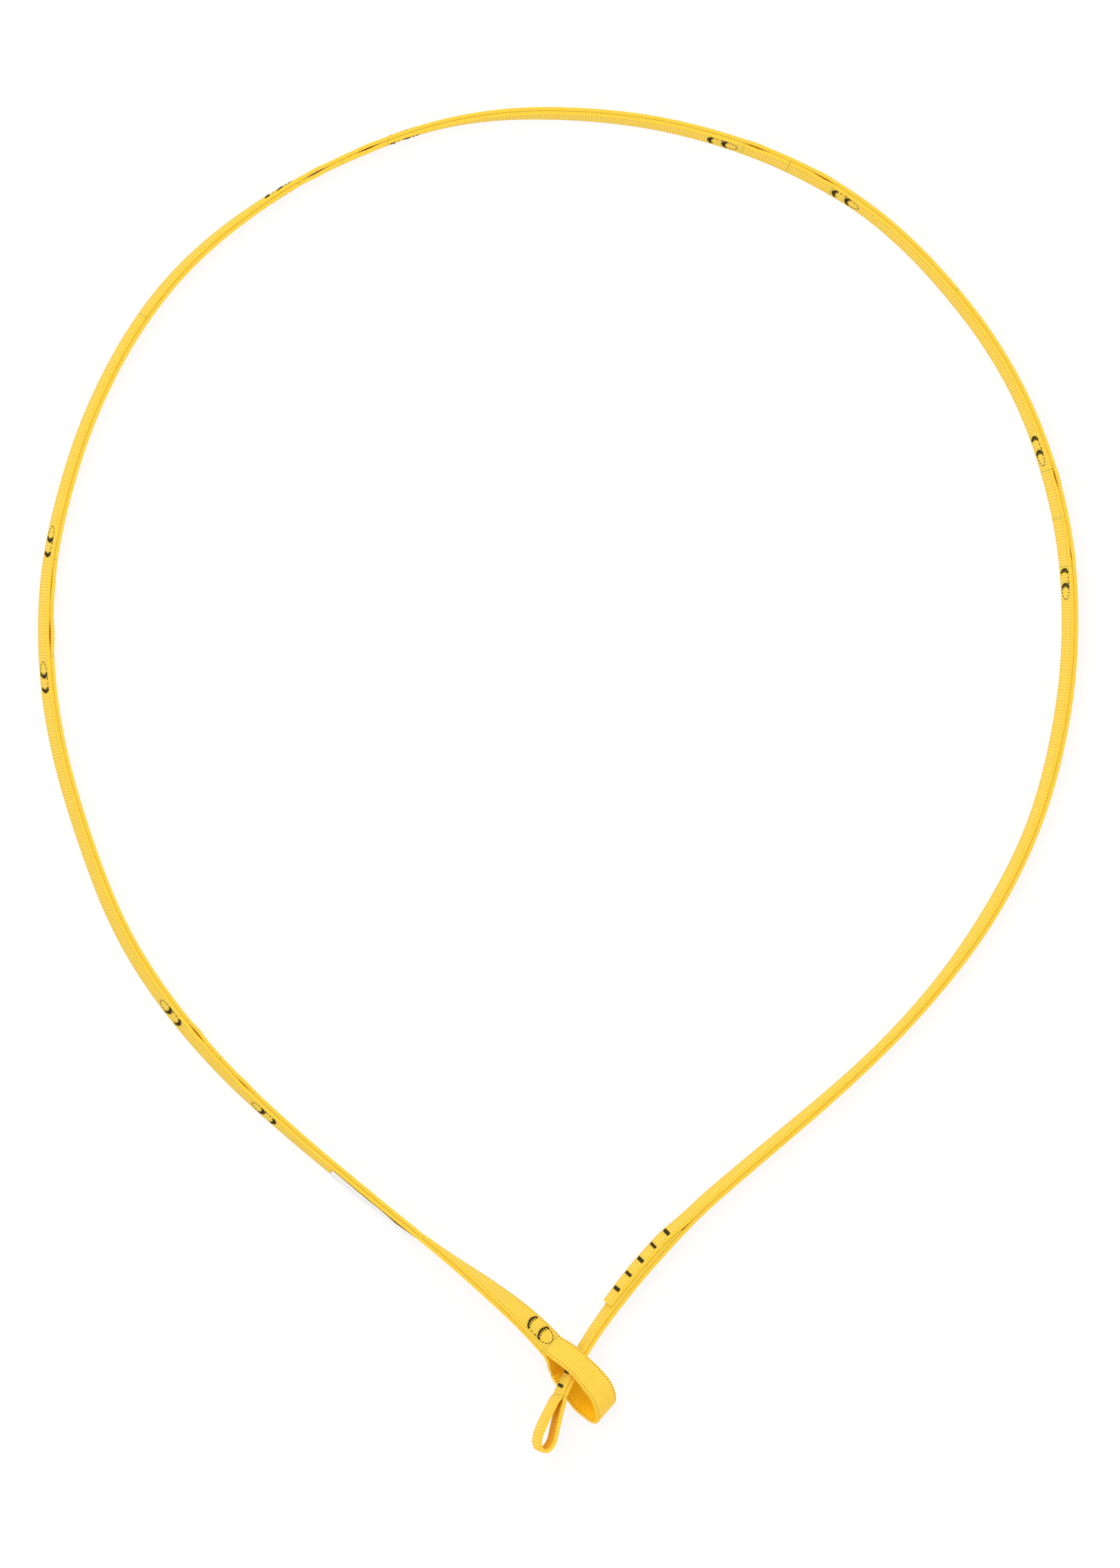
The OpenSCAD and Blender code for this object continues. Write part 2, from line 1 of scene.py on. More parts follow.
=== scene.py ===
import bpy
import numpy as np
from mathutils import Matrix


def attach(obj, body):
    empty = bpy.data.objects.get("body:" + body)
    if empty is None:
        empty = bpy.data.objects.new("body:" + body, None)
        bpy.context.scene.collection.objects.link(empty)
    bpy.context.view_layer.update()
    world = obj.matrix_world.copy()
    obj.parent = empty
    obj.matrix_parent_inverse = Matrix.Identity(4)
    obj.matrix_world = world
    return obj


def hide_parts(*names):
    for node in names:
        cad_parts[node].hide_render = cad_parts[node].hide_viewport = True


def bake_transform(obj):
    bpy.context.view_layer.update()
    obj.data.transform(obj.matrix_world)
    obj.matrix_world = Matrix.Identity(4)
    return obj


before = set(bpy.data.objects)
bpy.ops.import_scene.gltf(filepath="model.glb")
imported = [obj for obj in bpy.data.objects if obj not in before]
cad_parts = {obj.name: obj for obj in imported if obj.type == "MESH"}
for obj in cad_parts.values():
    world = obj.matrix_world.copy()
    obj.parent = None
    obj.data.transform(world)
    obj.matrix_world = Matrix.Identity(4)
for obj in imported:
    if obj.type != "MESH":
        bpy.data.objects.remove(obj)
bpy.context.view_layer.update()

MM = 0.001
UP = np.array([0.0, 0.0, 1.0])

# Sizes of the part's source, in metres and degrees
WEB_W = 18 * MM
WEB_T = 2.2 * MM
WEB_EDGE = 0.6 * MM
LAYER_GAP = 0.2 * MM
STRAP_T = 2 * WEB_T + LAYER_GAP
LAYER_OFF = (WEB_T + LAYER_GAP) / 2
LAP_RISE = WEB_T + LAYER_GAP
LOOP_R = 311 * MM
TIP_REACH = 133 * MM
TAPER_LEFT = 23
TAPER_RIGHT = 13
TIP_POWER_RIGHT = 0.83
SHOULDER = 3.5 * MM
TIP_TURN = 2
LOOP_RISE = 93.5 * MM
NECK_TURN = 21.4
POCKETS = np.array([181, 484, 830, 1110, 1390]) * MM
POCKET_PITCH = 83 * MM
TACK_W = 13 * MM
TACK_L = 2.2 * MM
TACK_PITCH = 9 * MM
ARCH_L = 10 * MM
PATTERN_L = TACK_PITCH + ARCH_L
LEFT_BEND_BEFORE = 44 * MM
TOP_BEND_AFTER = 79 * MM
RIGHT_BEND_AFTER = 74 * MM
LEFT_BEND = POCKETS[1] - LEFT_BEND_BEFORE
TOP_BEND = POCKETS[2] + POCKET_PITCH + PATTERN_L + TOP_BEND_AFTER
RIGHT_BEND = POCKETS[4] + POCKET_PITCH + PATTERN_L + RIGHT_BEND_AFTER
EYE_CROTCH = 34 * MM
EYE_L = 55 * MM
TAIL_PASS = 22 * MM
LEG_SIDE = 5.8 * MM
LOWER_LEG_ROLL = 64
UPPER_LEG_ROLL = 58
CROTCH_RISE = 0.5
EYE_SKEW = 16
TAIL_CLEAR = 1.2 * MM
NECK_RUN = 150 * MM
TAIL_RISE_L = 90 * MM
TAIL_TACK_AFTER = 5.5 * MM
SMALL_EYE_AFTER = 6 * MM
SMALL_EYE_L = 34 * MM
SMALL_EYE_OPEN = 7 * MM
SPLICE_TACKS = 5
SPLICE_AFTER = 2 * MM
SPLICE_PITCH = 11.3 * MM
SPLICE_TAB = 10.5 * MM
LABEL_AT = 135 * MM
LABEL_L = 62 * MM
LABEL_TAB_L = 4 * MM
LABEL_W = 15 * MM
LABEL_T = 0.6 * MM
LABEL_CLEAR = 0.35 * MM
LABEL_SEAM_SIDE = 1 * MM

# Sizes that fit the cloth to the real strap, a little apart from the part's source
EYE_ROLL = 47
RIM_TUCK = 1.3 * MM
TUCK_REACH = 11 * MM
LAP_RAMP = 28 * MM
LAP_LEAD = 9 * MM
NOSE_BACK = 3 * MM
# Share of the loop, then sideways wander in millimetres or roll in degrees
SWAY_TABLE = np.array([
    [-0.045, -3.7], [-0.03, -4.3], [-0.017, -2.8], [-0.008, -1.6], [0, -0.45], [0.01, 0.7], [0.03, 0.9],
    [0.06, 0.4], [0.085, -0.4], [0.112, -2], [0.14, -2.4], [0.157, -2], [0.172, -0.4], [0.19, 2.3],
    [0.204, 3.4], [0.22, 3.3], [0.265, 2.2], [0.278, 1.8], [0.308, 3.1], [0.338, 2.3], [0.368, 0.4],
    [0.383, -0.1], [0.413, 0.7], [0.444, 0.5], [0.474, -2.2], [0.489, -2.4], [0.52, -0.7],
    [0.56, -0.2], [0.61, -1.4], [0.645, 0], [0.685, -1.5], [0.73, -1.3], [0.76, 0.1], [0.79, 0.6],
    [0.82, -0.4], [0.88, 0.4], [0.93, 0.4], [0.96, -0.1], [0.98, -0.1], [0.993, -1.6], [1.015, -1.6],
    [1.022, -0.6], [1.03, 0.6], [1.04, 2.3], [1.05, 3.4], [1.065, 5.5],
])
ROLL_TABLE = np.array([
    [-0.017, EYE_ROLL], [-0.012, 43], [-0.005, 36], [0, 31], [0.005, 27], [0.01, 20], [0.015, 13.5],
    [0.02, 8], [0.03, 0], [0.045, -5], [0.06, -10], [0.09, -13], [0.11, -16], [0.127, -18], [0.16, -18.5],
    [0.195, -17.5], [0.25, -18.5], [0.265, -18], [0.293, -15.5], [0.34, -14.5], [0.37, -13.5],
    [0.4, -9.5], [0.415, -7], [0.428, -2.5], [0.444, 0], [0.47, 0], [0.489, 4], [0.504, 8], [0.53, 10],
    [0.565, 13], [0.595, 16], [0.61, 13], [0.65, 15], [0.69, 15], [0.715, 18], [0.745, 18], [0.79, 17],
    [0.82, 14], [0.85, 16], [0.88, 10], [0.91, 9], [0.94, 13], [0.97, 16], [1, 17], [1.012, 16],
    [1.022, 13], [1.035, 12], [1.045, 13], [1.06, 13.5],
])
EASE = 15 * MM
EASE_POINTS = 9

# Detail of the cloth, which the solids leave plain. Rings of a mesh keep step with the ribs.
RIB = 1.8 * MM
RING = RIB / 3
RING_CLEAR = 0.3
RIB_H = 0.08 * MM
SCALLOP_H = 0.07 * MM
SELVEDGE_R = 0.5 * MM
PLUMP = 0.14 * MM
DENT = 0.25 * MM
DENT_REACH = 2.0 * MM
DENT_MARGIN = 3 * MM
INSIDE_MARGIN = 0.4 * MM
FACE_POINTS = 9
CORNER_STEPS = 4
TONGUE_L = 1.5 * MM
TONGUE_SHRINK = 0.15 * MM


def smooth(x):
    """Ramp from 0 to 1 with soft ends."""
    x = np.clip(x, 0, 1)
    return x * x * (3 - 2 * x)


def unit(v):
    return v / np.linalg.norm(v, axis=-1, keepdims=True)


def column(x):
    return np.asarray(x)[..., None]


# Route of the strap on the surface. Lengths run from just above the large eye up the left side.
ROUTE_START = 6.0
ROUTE_END = 360 - ROUTE_START
ANGLE_STEP = 2.0
HEADING_STEP = 0.5


def loop_point(a):
    """Point of the loop at a turn in degrees from its tip, clockwise from above."""
    tip = np.minimum(a, 360 - a)
    decay = np.where(a < 180, tip / TAPER_LEFT, (tip / TAPER_RIGHT) ** TIP_POWER_RIGHT)
    swell = np.where(tip > 90, SHOULDER * np.sin(np.radians(2 * tip)) ** 2, 0)
    r = LOOP_R + TIP_REACH * np.exp(-decay) + swell
    turn = np.radians(a - TIP_TURN)
    return np.stack([-r * np.sin(turn), LOOP_RISE - r * np.cos(turn)], -1)


def direction(v):
    return np.degrees(np.arctan2(v[..., 1], v[..., 0]))


def loop_heading(a):
    return direction(loop_point(a + HEADING_STEP) - loop_point(a - HEADING_STEP))


ANGLES = np.arange(ROUTE_START, ROUTE_END + ANGLE_STEP / 2, ANGLE_STEP)
CHORDS = np.linalg.norm(np.diff(loop_point(ANGLES), axis=0), axis=1)
LENGTHS = np.concatenate([[0], np.cumsum(CHORDS)])
LOOP_L = LENGTHS[-1]
START_HEADING = loop_heading(np.array(ROUTE_START))
END_HEADING = loop_heading(np.array(ROUTE_END))


def arc_point(start, heading, bend, x):
    """Point at a length along an arc, whose bend is in degrees for each metre."""
    a = np.radians(heading)
    b = np.radians(heading + bend * x)
    return start + np.stack([np.sin(b) - np.sin(a), np.cos(a) - np.cos(b)], -1) / np.radians(bend)


NECK_BEND = NECK_TURN / (EYE_CROTCH + EYE_L)


def neck_point(s):
    return arc_point(loop_point(np.array(ROUTE_START)), START_HEADING, NECK_BEND, s)


# The tail leaves the end of the loop on the arc that meets the neck's arc at the choke
PASS_S = -EYE_CROTCH - TAIL_PASS
TO_CHOKE = neck_point(np.array(PASS_S)) - loop_point(np.array(ROUTE_END))
HALF_TURN = (direction(TO_CHOKE) - END_HEADING + 540) % 360 - 180
CHOKE_AT = np.linalg.norm(TO_CHOKE) * np.radians(HALF_TURN) / np.sin(np.radians(HALF_TURN))
TAIL_BEND = 2 * HALF_TURN / CHOKE_AT
CHOKE_S = LOOP_L + CHOKE_AT


def eased(s, table):
    """Value of a table along the strap, with its corners rounded off."""
    spread = np.linspace(-EASE, EASE, EASE_POINTS)
    return np.mean([np.interp((s + d) / LOOP_L, *table.T) for d in spread], axis=0)


def sway_at(s):
    return eased(s, SWAY_TABLE) * MM


def roll_at(s):
    return eased(s, ROLL_TABLE)


def route(s):
    """Point on the surface under the strap's middle, and the strap's heading there."""
    s = np.asarray(s, float)
    a = np.interp(s, LENGTHS, ANGLES)
    neck = s < 0
    tail = s > LOOP_L
    tail_start = loop_point(np.array(ROUTE_END))
    point = np.where(column(neck), neck_point(s), loop_point(a))
    point = np.where(column(tail), arc_point(tail_start, END_HEADING, TAIL_BEND, s - LOOP_L), point)
    heading = np.where(neck, START_HEADING + NECK_BEND * s, loop_heading(a))
    heading = np.where(tail, END_HEADING + TAIL_BEND * (s - LOOP_L), heading)
    h = np.radians(heading)
    return point + column(sway_at(s)) * np.stack([np.sin(h), -np.cos(h)], -1), heading


def half_height(roll, t):
    """Height of the middle of a strip that lies on its bevelled edge."""
    r = np.radians(roll)
    return np.maximum(
        t / 2 * np.abs(np.sin(r)) + (WEB_W / 2 - WEB_EDGE) * np.cos(r),
        (t / 2 - WEB_EDGE) * np.abs(np.sin(r)) + WEB_W / 2 * np.cos(r),
    )


def tail_rise(x):
    """Share of the tail's climb at a length past the middle of the large eye."""
    return smooth(0.5 + x / TAIL_RISE_L)


# Heights at the choke: the tail lies over the eye's lower leg and under its upper leg
CROSS_TURN = np.radians(route(CHOKE_S)[1] - route(PASS_S)[1])
EYE_MID = CHOKE_S + (sway_at(CHOKE_S) * np.cos(CROSS_TURN) - sway_at(PASS_S)) / np.sin(CROSS_TURN)
LEG_REACH = (LEG_SIDE + WEB_W / 2 * np.sin(np.radians(LOWER_LEG_ROLL))) / np.sin(CROSS_TURN)
LOWER_LEG_Z = half_height(LOWER_LEG_ROLL, WEB_T)
TAIL_LIFT = (2 * LOWER_LEG_Z + TAIL_CLEAR) / tail_rise(LEG_REACH)
TAIL_TOP = TAIL_LIFT * tail_rise(-LEG_REACH) + 2 * half_height(roll_at(EYE_MID), STRAP_T)
UPPER_LEG_Z = TAIL_TOP + TAIL_CLEAR + half_height(UPPER_LEG_ROLL, WEB_T)
EYE_AXIS_Z = (LOWER_LEG_Z + UPPER_LEG_Z) / 2
EYE_HALF = (UPPER_LEG_Z - LOWER_LEG_Z) / 2
CROTCH_ROLL = roll_at(-EYE_CROTCH)
NECK_LIFT = EYE_AXIS_Z + CROTCH_RISE * EYE_HALF - half_height(CROTCH_ROLL, STRAP_T)


def lift_at(s):
    """How far the strap is lifted off the surface."""
    neck = NECK_LIFT * smooth((NECK_RUN - EYE_CROTCH - s) / NECK_RUN)
    return neck + TAIL_LIFT * tail_rise(s - EYE_MID)


def directions(heading, roll):
    """Directions through the strap's layers to the inside, and across it."""
    h = np.radians(heading)
    r = column(np.radians(roll))
    inward = np.stack([np.sin(h), -np.cos(h), 0 * h], -1)
    return np.cos(r) * inward + np.sin(r) * UP, np.cos(r) * UP - np.sin(r) * inward


def strap(s):
    """Middle of the strap, and the directions through and across it."""
    s = np.asarray(s, float)
    point, heading = route(s)
    roll = roll_at(s)
    z = half_height(roll, STRAP_T) + lift_at(s)
    through, across = directions(heading, roll)
    return np.concatenate([point, column(z)], -1), through, across


def stations(start, end):
    """Places along a run that keep step with the ribs of the weave."""
    k = np.arange(np.ceil(start / RING + RING_CLEAR), np.floor(end / RING - RING_CLEAR) + 1)
    return np.concatenate([[start], k * RING, [end]])


# Lengths along the strap of what is sewn
POCKET_BODIES = ["lower_left", "upper_left", "upper_left", "upper_right", "upper_right"]
LEG_FROM = POCKETS + PATTERN_L + TACK_L
LEG_TO = POCKETS + POCKET_PITCH - TACK_L
LEG_MIDDLE = (LEG_FROM + LEG_TO) / 2
EYE_TACKS = -EYE_CROTCH + ARCH_L - TACK_L / 2 + np.array([0, TACK_PITCH])
SPLICE_FROM = LOOP_L + SPLICE_AFTER - (SPLICE_TACKS - 1) / 2 * SPLICE_PITCH
SPLICE_AT = SPLICE_FROM + np.arange(SPLICE_TACKS) * SPLICE_PITCH
LAP_START = SPLICE_AT[0] - SPLICE_TAB
LAP_END = SPLICE_AT[-1] + SPLICE_TAB
TAIL_TACKS = CHOKE_S + TAIL_TACK_AFTER + np.array([0, TACK_PITCH])
SMALL_EYE_BEND = TAIL_TACKS[1] + SMALL_EYE_AFTER
TACKS_OF_POCKET = np.array([0, TACK_PITCH, POCKET_PITCH, POCKET_PITCH + TACK_PITCH])
POCKET_TACKS = (POCKETS[:, None] + TACKS_OF_POCKET).ravel()
ALL_TACKS = np.concatenate([EYE_TACKS, POCKET_TACKS, SPLICE_AT, TAIL_TACKS])

# Slits that stand open in each pocket: from and to as shares of its leg, and how wide in millimetres
SLITS = [
    [(0.0, 0.28, 0.6), (0.70, 1.0, 1.0)],
    [(0.0, 0.44, 1.1), (0.5, 1.0, 0.4)],
    [(0.02, 0.38, 0.9), (0.62, 0.96, 0.7)],
    [(-0.04, 0.30, 0.9), (0.70, 1.04, 0.9)],
    [(-0.06, 0.24, 1.0), (0.75, 1.02, 0.5)],
]
LEAN_INNER = 0.6
LEAN_OUTER = -0.4


def slit(s):
    """Width of the open slit between the layers."""
    gap = np.zeros_like(s)
    for start, end, slits in zip(LEG_FROM, LEG_TO, SLITS):
        share = (s - start) / (end - start)
        for a, b, width in slits:
            gap += width * MM * np.sin(np.pi * np.clip((share - a) / (b - a), 0, 1)) ** 2
    return gap


def lean_at(s, side):
    """How far the top of a layer leans out of the strap beside a slit, which stays shut at the bottom."""
    return (LEAN_INNER if side > 0 else LEAN_OUTER) * slit(s)


# Meshes
def add_piece(name, sweeps, material, **attributes):
    """One mesh of closed sweeps. Each sweep is an array of rings, and each attribute a list of arrays."""
    verts, faces, caps = [], [], []
    first = 0
    for rings in sweeps:
        n, k = rings.shape[:2]
        i, j = np.meshgrid(np.arange(n - 1), np.arange(k), indexing="ij")
        a = first + i * k + j
        b = first + i * k + (j + 1) % k
        faces += np.stack([a, b, b + k, a + k], -1).reshape(-1, 4).tolist()
        caps.append(list(range(first + k - 1, first - 1, -1)))
        caps.append(list(range(first + (n - 1) * k, first + n * k)))
        verts.append(rings.reshape(-1, 3))
        first += n * k
    mesh = bpy.data.meshes.new(name)
    mesh.from_pydata(np.concatenate(verts).tolist(), [], faces + caps)
    is_side = np.arange(len(faces) + len(caps)) < len(faces)
    mesh.polygons.foreach_set("use_smooth", is_side)
    for key, arrays in attributes.items():
        layer = mesh.attributes.new(key, "FLOAT", "POINT")
        layer.data.foreach_set("value", np.concatenate([x.ravel() for x in arrays]).astype(np.float32))
    mesh.materials.append(material)
    mesh.update()
    piece = bpy.data.objects.new(name, mesh)
    bpy.context.scene.collection.objects.link(piece)
    return piece


def strip_section(width, thick, radius):
    """Outline of a strip as distances through and across it, and the outward direction at each point."""
    face = np.linspace(-1, 1, FACE_POINTS)[1:-1] * (width / 2 - radius)
    quarter = np.radians(np.linspace(0, 90, CORNER_STEPS + 1))
    points, normals = [], []
    for x, y, start in ((1, 1, 0), (-1, 1, 90), (-1, -1, 180), (1, -1, 270)):
        if start in (0, 180):
            points += [[x * thick / 2, x * v] for v in face]
            normals += [[x, 0] for v in face]
        for turn in quarter + np.radians(start):
            corner = np.array([x * (thick / 2 - radius), y * (width / 2 - radius)])
            out = np.array([np.cos(turn), np.sin(turn)])
            points.append(corner + radius * out)
            normals.append(out)
    return np.array(points[::-1]), np.array(normals[::-1])


def add_strip(name, material, middle, through, across, lengths, width=WEB_W, thick=WEB_T + PLUMP,
              radius=SELVEDGE_R, rib_h=RIB_H, scallop_h=SCALLOP_H, dent=0, tuck=0, lean=0, shrink=0,
              thin=1, inside=0):
    """Strip along its middle line, with ribs on its faces and scallops on its edges.

    A dent presses the faces in, a tuck lowers the upper edge, a lean moves that edge sideways, a shrink
    draws in the whole skin, and thin is a share of the thickness. Each is one number, or a column of one
    for each ring. With inside, the face against the through direction is marked as the inside of an eye,
    which the webbing's material paints with deeper orange shade.
    """
    points, normals = strip_section(width, thick, radius)
    wave = column(-np.cos(2 * np.pi * lengths / RIB))
    inner = smooth((width / 2 - np.abs(points[:, 1])) / DENT_MARGIN) * normals[:, 0]
    x = thin * points[:, 0] + normals[:, 0] * np.abs(normals[:, 0]) * rib_h * wave - dent * inner
    x = x + lean * (0.5 + points[:, 1] / width) - shrink * normals[:, 0]
    y = points[:, 1] + normals[:, 1] * np.abs(normals[:, 1]) * scallop_h * wave
    y = y - tuck * np.maximum(points[:, 1], 0) / (width / 2) - shrink * normals[:, 1]
    rings = middle[:, None] + x[..., None] * through[:, None] + y[..., None] * across[:, None]
    rings[..., 2] = np.maximum(rings[..., 2], 0)
    on_inside = (points[:, 0] < 0) & (np.abs(points[:, 1]) < width / 2 - INSIDE_MARGIN)
    marks = dict(along=column(lengths) / MM, across=points[:, 1] / MM, inside=inside * on_inside)
    spread = {key: [np.broadcast_to(value, x.shape)] for key, value in marks.items()}
    return add_piece(name, [rings], material, **spread)


def add_run(name, start, end, side, rise=None, thin=None, tongue=True):
    """Webbing along the strap, on the outer side (-1) or the inner side (+1) of its middle.

    A run that goes on in another piece ends in a slightly smaller tongue inside that piece.
    """
    s = stations(start, end)
    shrink = 0 * s
    if tongue:
        s = np.concatenate([s, [end, end + TONGUE_L]])
        shrink = np.concatenate([shrink, [TONGUE_SHRINK, TONGUE_SHRINK]])
    middle, through, across = strap(s)
    off = side * LAYER_OFF + (0 if rise is None else rise(s))
    dent = DENT * np.exp(-((s[:, None] - ALL_TACKS) / DENT_REACH) ** 2).max(axis=1)
    share = 1 if thin is None else column(thin(s))
    return add_strip(name, WEBBING, middle + column(off) * through, through, across, s, dent=column(dent),
                     lean=column(lean_at(s, side)), shrink=column(shrink), thin=share)


# Materials. Lengths in them are in millimetres, like the marks on the meshes, unless MM is written.
FACE = (0.91, 0.61, 0.085)
PALE = (0.93, 0.69, 0.17)
DEEP = (0.89, 0.53, 0.05)
# Painted shade in the grooves between the ribs of the weave
GROOVE_PAINTED_SHADE = (0.86, 0.48, 0.04)
# Selvedge colour: painted shade that deepens the edges of the webbing
SELVEDGE_PAINTED_SHADE = (0.89, 0.53, 0.05)
# Inside of an eye: painted shade, a deeper and more saturated orange than the faces for the shade and
# bounced light inside the loop
INSIDE_PAINTED_SHADE = (1.0, 0.62, 0.012)
INSIDE_GROOVE_PAINTED_SHADE = (0.95, 0.50, 0.008)
# Row of small holes beside each selvedge: dark painted shade in the holes
HOLE_PAINTED_SHADE = (0.22, 0.10, 0.006)
YARN = 1.1
HOLE_PITCH = 1.8
WEB_FIBRE_SCALE = 2600
WEB_PATCH_SCALE = 22
WEB_BUMP = 0.25 * MM
WEB_SHEEN = 0.15
SUBSURFACE_WEIGHT = 0.6
SUBSURFACE_RADIUS = (4, 2, 0.3)
# Distances from the webbing's middle at which the selvedge and the rows of holes fade in and out
SELVEDGE_IN = (7.5, 8.4)
HOLES_IN = (7.3, 7.7)
HOLES_OUT = (8.5, 8.1)
SELVEDGE_SHADE_SHARE = 0.85
HOLE_SHADE_SHARE = 0.85
DEEP_SHARE = 0.25
PALE_SHARE = 0.18
# Fewer pale fibres on the inside of an eye, as part of its painted shade
PALE_SHARE_IN_INSIDE_SHADE = 0.03
THREAD = (0.050, 0.033, 0.006)
# Painted shade in the grooves between the thread's plies
THREAD_GROOVE_PAINTED_SHADE = (0.018, 0.011, 0.002)
THREAD_LIGHT = (0.11, 0.08, 0.015)
THREAD_LIGHT_SHARE = 0.35
PLY_PITCH = 0.6
THREAD_FIBRE_SCALE = 3000
THREAD_BUMP = 0.06 * MM
THREAD_SHEEN = 0.1
TAPE = (0.93, 0.93, 0.92)
# Painted shade in the low points of the tape's weave
TAPE_GROOVE_PAINTED_SHADE = (0.84, 0.84, 0.84)
# Grey towards the tape's long edges
TAPE_EDGE = (0.78, 0.78, 0.78)
TAPE_SOIL = (0.88, 0.87, 0.85)
TAPE_WEFT = 0.5
TAPE_WARP = 0.4
TAPE_EDGE_IN = (6.7, 7.2)
TAPE_EDGE_SHARE = 0.6
TAPE_SOIL_SHARE = 0.4
TAPE_PATCH_SCALE = 60
TAPE_BUMP = 0.08 * MM
TAPE_SHEEN = 0.1
MATT_SPECULAR = 0.1
SHEEN_ROUGHNESS = 0.5
BUMP_STRENGTH = 0.6


class Shader:
    """One material's nodes, with short ways to add and join them."""

    def __init__(self, name, sheen, tint):
        self.material = bpy.data.materials.new(name)
        self.material.use_nodes = True
        self.tree = self.material.node_tree
        self.surface = self.tree.nodes["Principled BSDF"]
        self.surface.inputs["Sheen Weight"].default_value = sheen
        self.surface.inputs["Sheen Roughness"].default_value = SHEEN_ROUGHNESS
        self.surface.inputs["Sheen Tint"].default_value = (*tint, 1)
        self.surface.inputs["Specular IOR Level"].default_value = MATT_SPECULAR

    def put(self, value, socket):
        """Links another node's output to a socket, or sets a plain value on it."""
        if isinstance(value, bpy.types.NodeSocket):
            self.tree.links.new(value, socket)
        else:
            socket.default_value = value

    def attribute(self, name):
        node = self.tree.nodes.new("ShaderNodeAttribute")
        node.attribute_name = name
        return node.outputs["Fac"]

    def math(self, operation, *values):
        node = self.tree.nodes.new("ShaderNodeMath")
        node.operation = operation
        for value, socket in zip(values, node.inputs):
            self.put(value, socket)
        return node.outputs[0]

    def wave(self, value, pitch):
        """Cosine from 0 to 1 with the given pitch."""
        turn = self.math("COSINE", self.math("MULTIPLY", value, 2 * np.pi / pitch))
        return self.math("MULTIPLY_ADD", turn, 0.5, 0.5)

    def step(self, value, low, high):
        """Soft step from 0 at low to 1 at high."""
        node = self.tree.nodes.new("ShaderNodeMapRange")
        node.interpolation_type = "SMOOTHSTEP"
        for x, socket in zip((value, low, high, 0.0, 1.0), node.inputs):
            self.put(x, socket)
        return node.outputs[0]

    def noise(self, scale, detail=2.0, roughness=0.5):
        place = self.tree.nodes.new("ShaderNodeTexCoord")
        node = self.tree.nodes.new("ShaderNodeTexNoise")
        self.put(place.outputs["Object"], node.inputs["Vector"])
        node.inputs["Scale"].default_value = scale
        node.inputs["Detail"].default_value = detail
        node.inputs["Roughness"].default_value = roughness
        return node.outputs["Fac"]

    def mix(self, share, a, b):
        node = self.tree.nodes.new("ShaderNodeMix")
        node.data_type = "RGBA"
        self.put(share, node.inputs[0])
        self.put(a if isinstance(a, bpy.types.NodeSocket) else (*a, 1), node.inputs[6])
        self.put(b if isinstance(b, bpy.types.NodeSocket) else (*b, 1), node.inputs[7])
        return node.outputs[2]

    def finish(self, colour, height, depth, roughness):
        """Joins the pattern to the surface, with a bump of the given depth."""
        bump = self.tree.nodes.new("ShaderNodeBump")
        bump.inputs["Strength"].default_value = BUMP_STRENGTH
        bump.inputs["Distance"].default_value = depth
        self.put(height, bump.inputs["Height"])
        self.put(bump.outputs[0], self.surface.inputs["Normal"])
        self.put(colour, self.surface.inputs["Base Color"])
        self.put(roughness, self.surface.inputs["Roughness"])
        return self.material


